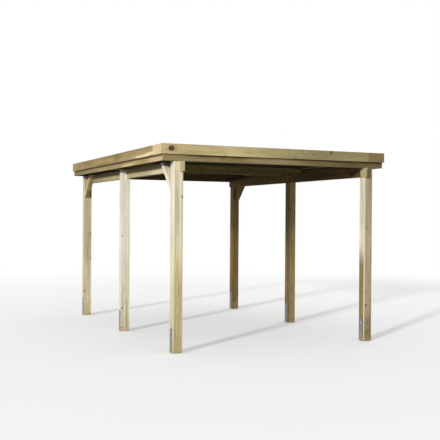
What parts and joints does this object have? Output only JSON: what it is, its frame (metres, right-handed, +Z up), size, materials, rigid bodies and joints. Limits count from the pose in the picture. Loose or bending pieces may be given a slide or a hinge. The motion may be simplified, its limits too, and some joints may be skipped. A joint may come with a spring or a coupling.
{
  "type": "carport",
  "caption": "Flat-roofed timber carport, open on all sides, with square posts in steel shoes, purlins, knee braces, rafters, two-tier fascia and ribbed roof sheets.",
  "frame": {"origin": "middle of the footprint of the roof, at ground level, under the post shoes", "axes": "X across the carport, Y from the entrance to the rear, Z up"},
  "size_m": [3.074, 4.199, 2.44],
  "materials": {
    "frame_timber": "planed, pressure-treated softwood, weathered",
    "fascia_timber": "planed, pressure-treated softwood boards, weathered",
    "roof_sheeting": "dark grey ribbed sheet",
    "galvanised_steel": "hot-dip galvanised"
  },
  "bodies": {
    "root": {"fascia_lower_front": "fascia_timber", "fascia_lower_left": "fascia_timber", "fascia_lower_rear": "fascia_timber", "fascia_lower_right": "fascia_timber", "fascia_upper_front": "fascia_timber", "fascia_upper_left": "fascia_timber", "fascia_upper_rear": "fascia_timber", "fascia_upper_right": "fascia_timber", "knee_brace_front_left": "frame_timber", "knee_brace_rear_left": "frame_timber", "knee_brace_rear_right": "frame_timber", "post_front_left": "frame_timber", "post_front_right": "frame_timber", "post_middle_left": "frame_timber", "post_middle_right": "frame_timber", "post_rear_left": "frame_timber", "post_rear_right": "frame_timber", "post_shoe_front_left": "galvanised_steel", "post_shoe_front_right": "galvanised_steel", "post_shoe_middle_left": "galvanised_steel", "post_shoe_middle_right": "galvanised_steel", "post_shoe_rear_left": "galvanised_steel", "post_shoe_rear_right": "galvanised_steel", "purlin_left": "frame_timber", "purlin_right": "frame_timber", "rafter_1": "frame_timber", "rafter_2": "frame_timber", "rafter_3": "frame_timber", "roof_sheet_1": "roof_sheeting", "roof_sheet_2": "roof_sheeting", "roof_sheet_3": "roof_sheeting"}
  },
  "joints": []
}
